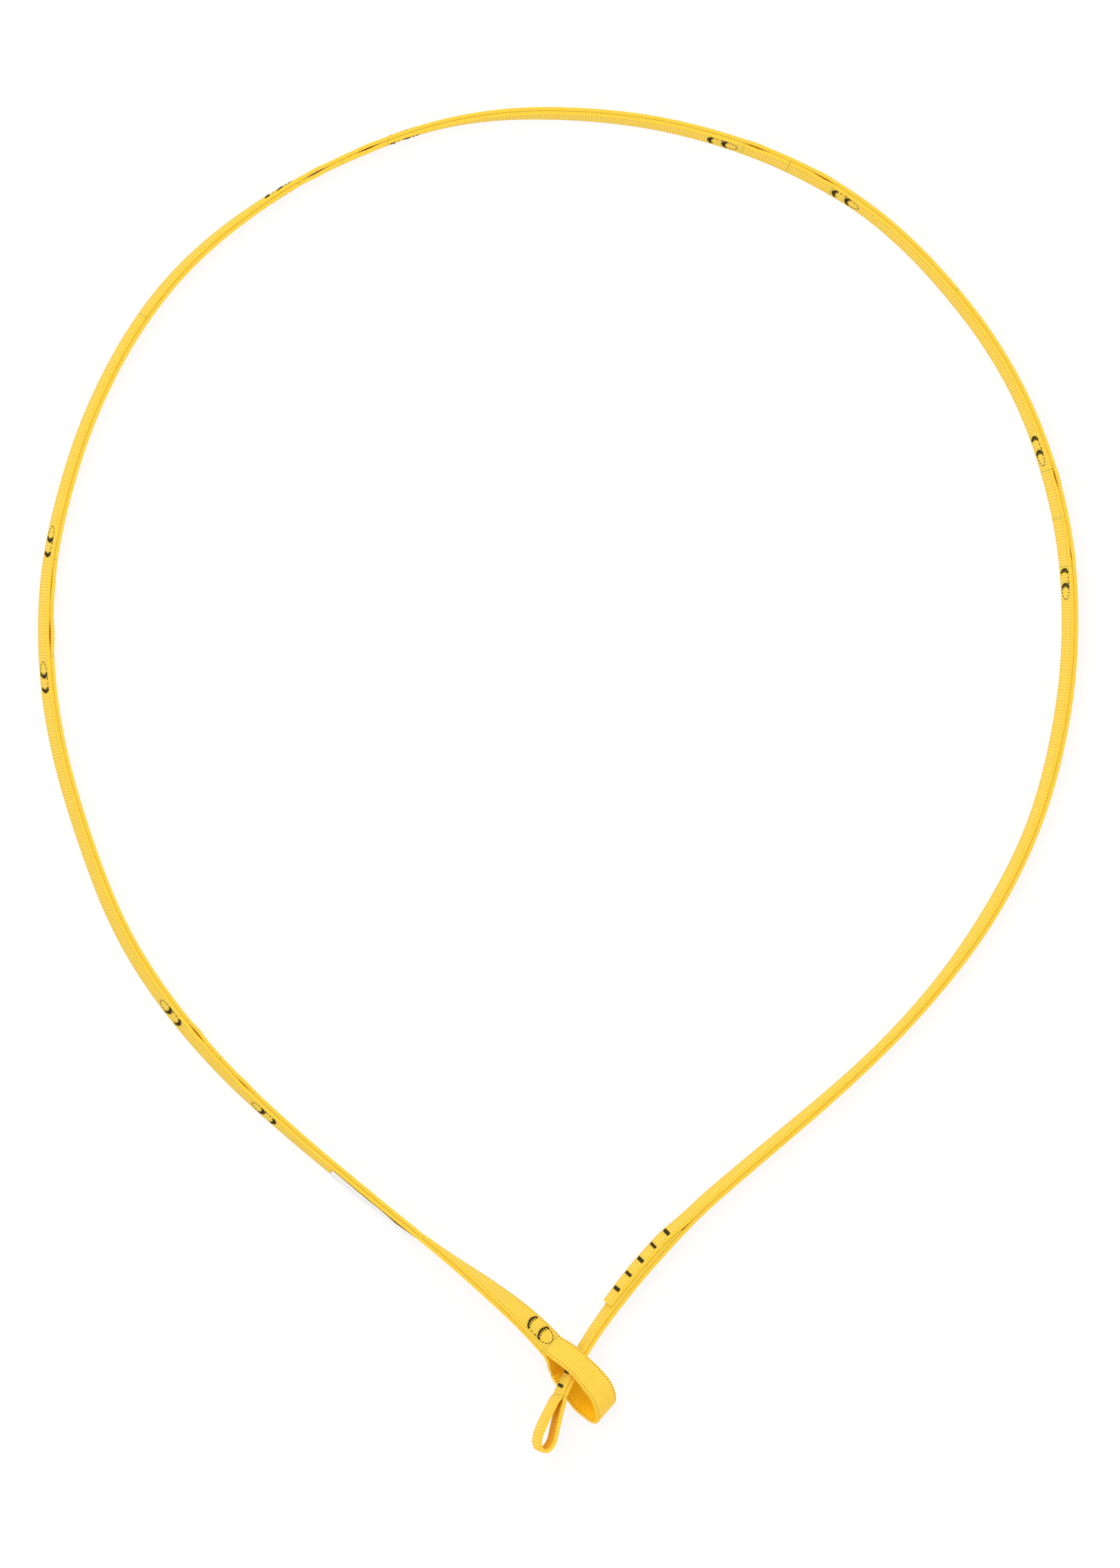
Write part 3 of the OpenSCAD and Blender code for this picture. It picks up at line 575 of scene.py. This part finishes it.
def webbing_material():
    """Ribbed weave: light faces, selvedges deepened with painted shade, a row of small holes beside each
    darkened with painted shade, and painted shade in the grooves between ribs and on the inside of an eye.
    """
    m = Shader("yellow_webbing", WEB_SHEEN, FACE)
    m.surface.inputs["Subsurface Weight"].default_value = SUBSURFACE_WEIGHT
    m.surface.inputs["Subsurface Radius"].default_value = SUBSURFACE_RADIUS
    m.surface.inputs["Subsurface Scale"].default_value = MM
    along = m.attribute("along")
    across = m.attribute("across")
    side = m.math("ABSOLUTE", across)
    rib = m.math("SUBTRACT", 1.0, m.wave(along, RIB / MM))
    row = m.math("FLOOR", m.math("DIVIDE", along, RIB / MM))
    yarn = m.wave(m.math("MULTIPLY_ADD", row, YARN / 2, across), YARN)
    inside = m.attribute("inside")
    selvedge = m.step(side, *SELVEDGE_IN)
    weave = m.math("MULTIPLY", rib, m.math("MULTIPLY_ADD", yarn, 0.4, 0.6))
    hole_row = m.math("MULTIPLY", m.step(side, *HOLES_IN), m.step(side, *HOLES_OUT))
    holes = m.math("MULTIPLY", m.step(m.wave(along, HOLE_PITCH), 0.55, 0.85), hole_row)
    fibre = m.noise(WEB_FIBRE_SCALE, 3.0)
    patch = m.noise(WEB_PATCH_SCALE, 3.0, 0.6)
    # The inside of an eye is painted with deeper orange shade
    face = m.mix(inside, FACE, INSIDE_PAINTED_SHADE)
    # The grooves between the ribs are darkened with painted shade
    groove_shade = m.mix(inside, GROOVE_PAINTED_SHADE, INSIDE_GROOVE_PAINTED_SHADE)
    colour = m.mix(m.step(weave, 0.45, 0.0), face, groove_shade)
    # The selvedges are deepened with painted shade
    colour = m.mix(m.math("MULTIPLY", selvedge, SELVEDGE_SHADE_SHARE), colour, SELVEDGE_PAINTED_SHADE)
    # The holes are darkened with painted shade
    colour = m.mix(m.math("MULTIPLY", holes, HOLE_SHADE_SHARE), colour, HOLE_PAINTED_SHADE)
    colour = m.mix(m.math("MULTIPLY", m.step(patch, 0.42, 0.75), DEEP_SHARE), colour, DEEP)
    pale_share = m.math("MULTIPLY_ADD", inside, PALE_SHARE_IN_INSIDE_SHADE - PALE_SHARE, PALE_SHARE)
    colour = m.mix(m.math("MULTIPLY", m.step(fibre, 0.5, 0.8), pale_share), colour, PALE)
    height = m.math("MULTIPLY_ADD", fibre, 0.25, m.math("SUBTRACT", weave, holes))
    roughness = m.math("MULTIPLY_ADD", fibre, 0.2, 0.62)
    return m.finish(colour, height, WEB_BUMP, roughness)


def thread_material():
    """Dark polyester thread of three twisted plies."""
    m = Shader("dark_thread", THREAD_SHEEN, THREAD_LIGHT)
    along = m.attribute("along")
    around = m.attribute("around")
    ply = m.wave(m.math("MULTIPLY_ADD", around, PLY_PITCH, along), PLY_PITCH)
    fibre = m.noise(THREAD_FIBRE_SCALE)
    # The grooves between the plies are darkened with painted shade
    colour = m.mix(m.step(ply, 0.35, 0.0), THREAD, THREAD_GROOVE_PAINTED_SHADE)
    light = m.math("MULTIPLY", m.step(fibre, 0.5, 0.75), THREAD_LIGHT_SHARE)
    colour = m.mix(light, colour, THREAD_LIGHT)
    height = m.math("MULTIPLY_ADD", fibre, 0.3, ply)
    roughness = m.math("MULTIPLY_ADD", fibre, 0.25, 0.4)
    return m.finish(colour, height, THREAD_BUMP, roughness)


def label_material():
    """White woven tape with a fine plain weave, painted shade in the low points of its weave, and slightly
    grey edges.
    """
    m = Shader("white_label_tape", TAPE_SHEEN, TAPE)
    along = m.attribute("along")
    across = m.attribute("across")
    weave = m.math("MULTIPLY", m.wave(along, TAPE_WEFT), m.wave(across, TAPE_WARP))
    edge = m.step(m.math("ABSOLUTE", across), *TAPE_EDGE_IN)
    patch = m.noise(TAPE_PATCH_SCALE, 3.0)
    # The low points of the weave are darkened with painted shade
    colour = m.mix(m.step(weave, 0.4, 0.0), TAPE, TAPE_GROOVE_PAINTED_SHADE)
    colour = m.mix(m.math("MULTIPLY", edge, TAPE_EDGE_SHARE), colour, TAPE_EDGE)
    colour = m.mix(m.math("MULTIPLY", m.step(patch, 0.45, 0.8), TAPE_SOIL_SHARE), colour, TAPE_SOIL)
    roughness = m.math("MULTIPLY_ADD", patch, 0.2, 0.45)
    return m.finish(colour, weave, TAPE_BUMP, roughness)


WEBBING = webbing_material()
DARK_THREAD = thread_material()
WHITE_TAPE = label_material()


# Long runs of webbing
def add_layer(name, start, end, side, bodies, bend, nodes, **shape):
    """Run along the strap. One that crosses no bend is attached to its one body, and one that crosses a bend
    is left where it lies, with no body.
    """
    piece = add_run(name, start, end, side, **shape)
    if bend is None:
        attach(piece, *bodies)
    else:
        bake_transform(piece)
    if nodes:
        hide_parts(*nodes)


def lap_rise(s):
    """The inner layer climbs over the start of the tail's layer."""
    return LAP_RISE * smooth((s - LAP_START + LAP_LEAD) / LAP_RAMP)


def lap_nose(s):
    """Share of its thickness that the tail's layer has where its end is pressed under the climbing layer."""
    return np.clip((lap_rise(s) - LAYER_GAP) / WEB_T, 0, 1)


def nose_sink(s):
    """The pressed end stays on the outer layer."""
    return -WEB_T / 2 * (1 - lap_nose(s))


LEFT_MIDDLE = (LEFT_BEND + TOP_BEND) / 2
RIGHT_MIDDLE = (TOP_BEND + RIGHT_BEND) / 2
OUTER_ENDS = [-EYE_CROTCH, LEFT_MIDDLE, RIGHT_MIDDLE, SMALL_EYE_BEND]
# Bodies that a run goes with (only a run that crosses no bend is attached, to its one body), the bend that
# it crosses and the nodes that it stands for
OUTER_RUNS = [
    (["lower_left", "upper_left"], LEFT_BEND, ["lower_left_outer_layer"]),
    (["upper_left", "upper_right"], TOP_BEND, ["upper_left_outer_layer"]),
    (["upper_right", "lower_right"], RIGHT_BEND, ["upper_right_outer_layer", "lower_right_outer_layer"]),
]
INNER_FROM = [-EYE_CROTCH, *LEG_TO]
INNER_TO = [*LEG_FROM, LAP_END]
INNER_RUNS = [
    (["lower_left"], None, ["lower_left_inner_layer"]),
    (["lower_left", "upper_left"], LEFT_BEND, []),
    (["upper_left"], None, ["upper_left_inner_layer"]),
    (["upper_left", "upper_right"], TOP_BEND, []),
    (["upper_right"], None, ["upper_right_inner_layer"]),
    (["upper_right", "lower_right"], RIGHT_BEND, ["lower_right_inner_layer"]),
]
for i, run in enumerate(OUTER_RUNS):
    add_layer(f"outer_webbing_{i + 1}", OUTER_ENDS[i], OUTER_ENDS[i + 1], -1, *run)
for i, run in enumerate(INNER_RUNS):
    goes_on = i + 1 < len(INNER_RUNS)
    add_layer(f"inner_webbing_{i + 1}", INNER_FROM[i], INNER_TO[i], 1, *run, rise=lap_rise, tongue=goes_on)
add_layer("tail_inner_webbing", LAP_START + NOSE_BACK, SMALL_EYE_BEND, 1, ["lower_right"], None,
          ["tail_inner_layer"], rise=nose_sink, thin=lap_nose)

# Inner legs of the pockets, each in two halves that meet at the middle of the leg
for i, body in enumerate(POCKET_BODIES):
    pocket = f"pocket_{i + 1}"
    for half, start, end in (("start", LEG_FROM[i], LEG_MIDDLE[i]), ("end", LEG_MIDDLE[i], LEG_TO[i])):
        leg = add_run(f"{pocket}_leg_{half}_half", start, end, 1)
        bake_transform(leg)
        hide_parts(f"{pocket}_leg")


# Eyes
def spline(rows, steps):
    """Smooth curve through the rows, with a number of steps between each two."""
    p = np.concatenate([rows[:1], rows, rows[-1:]])
    a, b, c, d = (column(p[k:len(p) - 3 + k]).transpose(0, 2, 1) for k in range(4))
    x = (np.arange(steps) / steps)[None, :, None]
    square = 2 * a - 5 * b + 4 * c - d
    cube = 3 * b - a - 3 * c + d
    curve = 0.5 * (2 * b + (c - a) * x + square * x ** 2 + cube * x ** 3)
    return np.concatenate([curve.reshape(-1, rows.shape[1]), rows[-1:]])


def add_turn(name, points, across, start, tuck=0, tuck_at=0):
    """Webbing along a curve in space, with rings that keep step with the ribs of the weave.

    One rim may be tucked in at a distance from the curve's end.
    """
    lengths = np.concatenate([[0], np.cumsum(np.linalg.norm(np.diff(points, axis=0), axis=1))])
    s = stations(start, start + lengths[-1])
    middle = np.stack([np.interp(s - start, lengths, points[:, k]) for k in range(3)], -1)
    wide = np.stack([np.interp(s - start, lengths, across[:, k]) for k in range(3)], -1)
    along = unit(np.gradient(middle, s, axis=0))
    wide = unit(wide - column((wide * along).sum(-1)) * along)
    tucked = tuck * np.exp(-((start + lengths[-1] - tuck_at - s) / TUCK_REACH) ** 2)
    # The faces inside an eye are marked for the painted shade of the inside
    return add_strip(name, WEBBING, middle, np.cross(along, wide), wide, s, tuck=column(tucked), inside=1)


CURVE_STEPS = 16
EYE_SIDE = LAYER_OFF * np.cos(np.radians(CROTCH_ROLL)) / LEG_SIDE
EYE_RISE = LAYER_OFF * np.sin(np.radians(CROTCH_ROLL)) / EYE_HALF
# Share of the eye's length, shares of its legs' side and of its half height, and roll
EYE_ROWS = np.array([
    [0, -EYE_SIDE, CROTCH_RISE - EYE_RISE, CROTCH_ROLL],
    [0.05, -1.15 * EYE_SIDE, CROTCH_RISE - 1.3 * EYE_RISE, CROTCH_ROLL],
    [0.12, -0.24, 0.22, 52], [0.18, -0.4, -0.25, 58], [0.24, -0.57, -0.8, 62],
    [0.3, -0.7, -1, LOWER_LEG_ROLL], [0.38, -0.87, -1, LOWER_LEG_ROLL],
    [0.6, -1, -1, LOWER_LEG_ROLL], [0.75, -0.98, -0.98, LOWER_LEG_ROLL],
    [0.87, -0.68, -0.75, 65], [0.95, -0.38, -0.42, 66], [0.985, 0, 0, 66], [0.95, 0.42, 0.42, 66],
    [0.87, 0.78, 0.75, 65], [0.75, 1.04, 0.98, 63], [0.6, 1, 1, 61], [0.44, 0.84, 1, UPPER_LEG_ROLL],
    [0.3, 0.66, 1, 56], [0.2, 0.5, 0.9, 53], [0.12, 0.33, 0.72, 49],
    [0.05, 1.15 * EYE_SIDE, CROTCH_RISE + 1.15 * EYE_RISE, CROTCH_ROLL],
    [0, EYE_SIDE, CROTCH_RISE + EYE_RISE, CROTCH_ROLL],
])
eye = spline(EYE_ROWS, CURVE_STEPS)
eye_route, eye_heading = route(-EYE_CROTCH - eye[:, 0] * EYE_L)
eye_inward, _ = directions(eye_heading, 0 * eye_heading)
_, eye_across = directions(eye_heading + eye[:, 0] * EYE_SKEW, eye[:, 3])
eye_line = np.concatenate([eye_route, column(EYE_AXIS_Z + eye[:, 2] * EYE_HALF)], -1)
eye_points = eye_line + column(eye[:, 1] * LEG_SIDE) * eye_inward
large_eye = add_turn("large_eye_webbing", eye_points, eye_across, EYE_CROTCH, RIM_TUCK, TAIL_PASS)
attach(large_eye, "lower_left")
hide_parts("large_eye_loop")

SMALL_HALF = (SMALL_EYE_OPEN + WEB_T) / 2
# Share of the small eye's length, and distance of one side from the strap's middle
SIDE_ROWS = [
    [0, LAYER_OFF], [0.1, 0.47 * SMALL_HALF], [0.25, 0.6 * SMALL_HALF], [0.42, 0.77 * SMALL_HALF],
    [0.6, 0.92 * SMALL_HALF], [0.8, SMALL_HALF], [0.95, 0.64 * SMALL_HALF],
]
SMALL_ROWS = np.array(SIDE_ROWS + [[1, 0]] + [[x, -y] for x, y in SIDE_ROWS[::-1]])
small = spline(SMALL_ROWS, CURVE_STEPS)
small_middle, small_through, small_across = strap(SMALL_EYE_BEND + small[:, 0] * SMALL_EYE_L)
small_points = small_middle + column(small[:, 1]) * small_through
small_eye = add_turn("small_eye_webbing", small_points, small_across, SMALL_EYE_BEND)
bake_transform(small_eye)
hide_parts("small_eye_loop")

# Thread
THREAD_R = 0.3 * MM
THREAD_SIDES = 7
STITCH_PITCH = 0.55 * MM
STITCH_POINTS = 5
STITCH_RISE = 0.08 * MM
STITCH_SINK = -0.2 * MM
STITCH_POWER = 0.6
COMB_L = 1.1 * MM
TACK_BOW = 2.0 * MM
BLOCK_L = 1.7 * MM
BOLD_L = 2.2 * MM
TOOTH_PITCH = 2.1 * MM
TOOTH_L = 2.0 * MM
DASH = 2.0 * MM
DASH_GAP = 0.45 * MM
DASH_POINTS = 4
ROW_MARGIN = 0.4 * MM
ROW_SIDE = TACK_W / 2 - ROW_MARGIN
ARCH_POINTS = 25


def on_face(s, v, side, lift, rise=0):
    """Points on a face of the strap, and the direction out of it."""
    middle, through, across = strap(s)
    off = side * (STRAP_T / 2 + rise + lift) + lean_at(s, side) * (0.5 + v / WEB_W)
    return middle + column(off) * through + column(v) * across, side * through


def tube(points, normals):
    """Rings of a thread along the points, and its length and angle at each vertex."""
    along = unit(np.gradient(points, axis=0))
    beside = unit(np.cross(along, normals))
    out = np.cross(beside, along)
    turn = np.linspace(0, 2 * np.pi, THREAD_SIDES, endpoint=False)
    round_it = np.cos(turn)[:, None] * out[:, None] + np.sin(turn)[:, None] * beside[:, None]
    rings = points[:, None] + THREAD_R * round_it
    length = np.concatenate([[0], np.cumsum(np.linalg.norm(np.diff(points, axis=0), axis=1))])
    shape = rings.shape[:2]
    return rings, np.broadcast_to(column(length), shape) / MM, np.broadcast_to(turn / (2 * np.pi), shape)


def stitch_lift(t):
    """Height of a thread over the face, with a needle hole at each whole number."""
    return STITCH_SINK + (STITCH_RISE - STITCH_SINK) * np.abs(np.sin(np.pi * t)) ** STITCH_POWER


def stitch_line(u, v, s, side, rise=0):
    """One thread through a list of needle holes, which rises between each two of them."""
    t = np.arange(0, len(u) - 1 + 0.5 / STITCH_POINTS, 1 / STITCH_POINTS)
    k = np.arange(len(u))
    points, normals = on_face(s + np.interp(t, k, u), np.interp(t, k, v), side, stitch_lift(t), rise)
    return tube(points, normals)


def bowed(v, bow):
    """How far a bowed tack lies along the strap from its middle place."""
    return bow * ((2 * v / TACK_W) ** 2 - 1 / 3)


def block_tack(s, side, rise=0, length=BLOCK_L, bow=0):
    """Close zigzag from one side of the strap to the other, straight or bowed."""
    v = np.arange(-TACK_W / 2, TACK_W / 2 + STITCH_PITCH / 2, STITCH_PITCH)
    u = np.where(np.arange(len(v)) % 2, 1, -1) * length / 2 + bowed(v, bow)
    return [stitch_line(u, v, s, side, rise)]


def comb_tack(s, side, way):
    """Narrow zigzag with a row of longer stitches on one side of it."""
    threads = block_tack(s, side, length=COMB_L, bow=way * TACK_BOW)
    for v in np.arange(-TACK_W / 2 + TOOTH_PITCH / 2, TACK_W / 2, TOOTH_PITCH):
        ends = bowed(v, way * TACK_BOW) + way * np.array([0, TOOTH_L])
        threads.append(stitch_line(ends, np.array([v, v]), s, side))
    return threads


def dashes(path, s, side):
    """Running stitch along a path of distances along and across the strap."""
    reach = np.concatenate([[0], np.cumsum(np.linalg.norm(np.diff(path, axis=0), axis=1))])
    count = int((reach[-1] + DASH_GAP) / (DASH + DASH_GAP))
    threads = []
    for k in range(count):
        at = (k + 0.5) * reach[-1] / count + np.linspace(-0.5, 0.5, DASH_POINTS) * DASH
        u, v = (np.interp(at, reach, path[:, axis]) for axis in (0, 1))
        lift = stitch_lift(np.linspace(0, 1, DASH_POINTS))
        threads.append(tube(*on_face(s + u, v, side, lift)))
    return threads


def pattern(s, way):
    """Two bar tacks, the row that joins them and the arch beyond the second, on both faces."""
    straight = ARCH_L - TACK_L - ROW_SIDE
    turns = np.radians(np.linspace(0, 180, ARCH_POINTS))
    bow = np.stack([straight + ROW_SIDE * np.sin(turns), ROW_SIDE * np.cos(turns)], -1)
    arch = np.concatenate([[[0, ROW_SIDE]], bow, [[0, -ROW_SIDE]]]) + [TACK_L / 2, 0]
    arch[:, 0] *= way
    row = np.array([[0, ROW_SIDE], [way * TACK_PITCH, ROW_SIDE]])
    threads = []
    for side in (-1, 1):
        for tack in (s, s + way * TACK_PITCH):
            threads += comb_tack(tack, side, way)
        threads += dashes(row, s, side) + dashes(arch, s + way * TACK_PITCH, side)
    return threads


def add_threads(name, threads, material, body, slot, *nodes):
    """One piece of many threads, which stands for the nodes of a seam."""
    rings, along, around = zip(*threads)
    piece = add_piece(name, rings, material, along=along, around=around)
    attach(piece, body)
    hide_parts(*nodes)


add_threads("large_eye_thread", pattern(EYE_TACKS[1], -1), DARK_THREAD, "lower_left", "thread",
            "large_eye_stitching")
for i, body in enumerate(POCKET_BODIES):
    for place, s in (("start", POCKETS[i]), ("end", POCKETS[i] + POCKET_PITCH)):
        name = f"pocket_{i + 1}_{place}"
        add_threads(f"{name}_thread", pattern(s, 1), DARK_THREAD, body, "thread", f"{name}_stitching")
splice = []
for k, s in enumerate(SPLICE_AT):
    tack_l = BLOCK_L if k % 2 else BOLD_L
    splice += block_tack(s, -1, 0, tack_l) + block_tack(s, 1, lap_rise(s), tack_l)
add_threads("splice_thread", splice, DARK_THREAD, "lower_right", "thread", "splice_bar_tacks")
tail = [t for s in TAIL_TACKS for side in (-1, 1) for t in block_tack(s, side)]
add_threads("small_eye_thread", tail, DARK_THREAD, "lower_right", "thread", "small_eye_stitching")

# Label: one tape, sewn down at its upper end
LABEL_OFF = -STRAP_T / 2 - LABEL_CLEAR - LABEL_T / 2
LABEL_LIFT = 0.9 * MM
LABEL_WAVES = 9
LABEL_R = 0.25 * MM
SEAM_STEP = 0.125
SEAM_HALF = LABEL_TAB_L / 6
label_end = LABEL_AT - LABEL_TAB_L
label_s = stations(label_end - LABEL_L, LABEL_AT)
label_middle, label_through, label_across = strap(label_s)
free = (label_end - label_s) / LABEL_L
label_off = LABEL_OFF - LABEL_LIFT * smooth(free) * (1 + np.sin(LABEL_WAVES * free)) / 2
label_points = label_middle + column(label_off) * label_through
label = add_strip("label_tape", WHITE_TAPE, label_points, label_through, label_across, label_s,
                  width=LABEL_W, thick=LABEL_T, radius=LABEL_R, rib_h=0, scallop_h=0)
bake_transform(label)
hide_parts("label_flap", "label_tab")
seam_v = np.arange(-1, 1 + SEAM_STEP / 2, SEAM_STEP) * (LABEL_W / 2 - LABEL_SEAM_SIDE)
seam_u = np.where(np.arange(len(seam_v)) % 2, 1, -1) * SEAM_HALF
seam = [stitch_line(seam_u, seam_v, LABEL_AT - LABEL_TAB_L / 2, -1, LABEL_CLEAR + LABEL_T)]
add_threads("label_thread", seam, WHITE_TAPE, "lower_left", "label", "label_stitching")

# Floor, light and camera
VIEW_MIDDLE = (1.68 * MM, -2.39 * MM)
VIEW_HIGH = 955.1 * MM
LENS = 450
SENSOR = 36
CAMERA_FAR = 100
FLOOR_HALF = 6.0
FLOOR_Z = -0.3 * MM
FLOOR_COLOUR = (0.93, 0.93, 0.93, 1)
FLOOR_ROUGHNESS = 0.9
FLOOR_GLOW_SHARE = 0.8
SKY_LIGHT = 0.8
SKY_SEEN = 1.0


def floor_material():
    """Pale floor that stays white where nothing shades it."""
    material = bpy.data.materials.new("pale_floor")
    material.use_nodes = True
    nodes, links = material.node_tree.nodes, material.node_tree.links
    surface = nodes["Principled BSDF"]
    surface.inputs["Base Color"].default_value = FLOOR_COLOUR
    surface.inputs["Roughness"].default_value = FLOOR_ROUGHNESS
    surface.inputs["Specular IOR Level"].default_value = MATT_SPECULAR
    glow = nodes.new("ShaderNodeEmission")
    rays = nodes.new("ShaderNodeLightPath")
    mix = nodes.new("ShaderNodeMixShader")
    seen = nodes.new("ShaderNodeMath")
    seen.operation = "MAXIMUM"
    links.new(rays.outputs["Is Camera Ray"], seen.inputs[0])
    links.new(rays.outputs["Is Glossy Ray"], seen.inputs[1])
    share = nodes.new("ShaderNodeMath")
    share.operation = "MULTIPLY"
    links.new(seen.outputs[0], share.inputs[0])
    share.inputs[1].default_value = FLOOR_GLOW_SHARE
    links.new(share.outputs[0], mix.inputs[0])
    links.new(surface.outputs[0], mix.inputs[1])
    links.new(glow.outputs[0], mix.inputs[2])
    links.new(mix.outputs[0], nodes["Material Output"].inputs["Surface"])
    return material


corners = [(x * FLOOR_HALF, y * FLOOR_HALF, FLOOR_Z) for x, y in ((-1, -1), (1, -1), (1, 1), (-1, 1))]
floor_mesh = bpy.data.meshes.new("floor")
floor_mesh.from_pydata(corners, [], [(0, 1, 2, 3)])
floor_mesh.materials.append(floor_material())
floor = bpy.data.objects.new("floor", floor_mesh)
bpy.context.scene.collection.objects.link(floor)

world = bpy.data.worlds.new("studio")
world.use_nodes = True
bpy.context.scene.world = world
sky, sky_links = world.node_tree.nodes, world.node_tree.links
sky_rays = sky.new("ShaderNodeLightPath")
sky_strength = sky.new("ShaderNodeMapRange")
sky_links.new(sky_rays.outputs["Is Camera Ray"], sky_strength.inputs["Value"])
sky_strength.inputs["To Min"].default_value = SKY_LIGHT
sky_strength.inputs["To Max"].default_value = SKY_SEEN
sky_links.new(sky_strength.outputs[0], sky["Background"].inputs["Strength"])
sky["Background"].inputs["Color"].default_value = (1, 1, 1, 1)


def add_light(name, place, size, power):
    """Square lamp that faces the origin, with its size in metres and its power in watts."""
    data = bpy.data.lights.new(name, "AREA")
    data.energy = power
    data.size = size
    light = bpy.data.objects.new(name, data)
    light.location = place
    away = np.array(place) / np.linalg.norm(place)
    light.rotation_euler = (np.arccos(away[2]), 0, np.arctan2(away[1], away[0]) + np.pi / 2)
    bpy.context.scene.collection.objects.link(light)


add_light("key_light", (-1.1, 1.0, 3.4), 2.6, 60)
add_light("fill_light", (1.4, 0.2, 3.2), 3.0, 25)

camera_data = bpy.data.cameras.new("camera")
camera_data.lens = LENS
camera_data.sensor_width = SENSOR
camera_data.clip_end = CAMERA_FAR
camera = bpy.data.objects.new("camera", camera_data)
camera.location = (*VIEW_MIDDLE, VIEW_HIGH * LENS / SENSOR)
bpy.context.scene.collection.objects.link(camera)
bpy.context.scene.camera = camera
bpy.context.scene.view_settings.view_transform = "Standard"

bpy.context.view_layer.update()
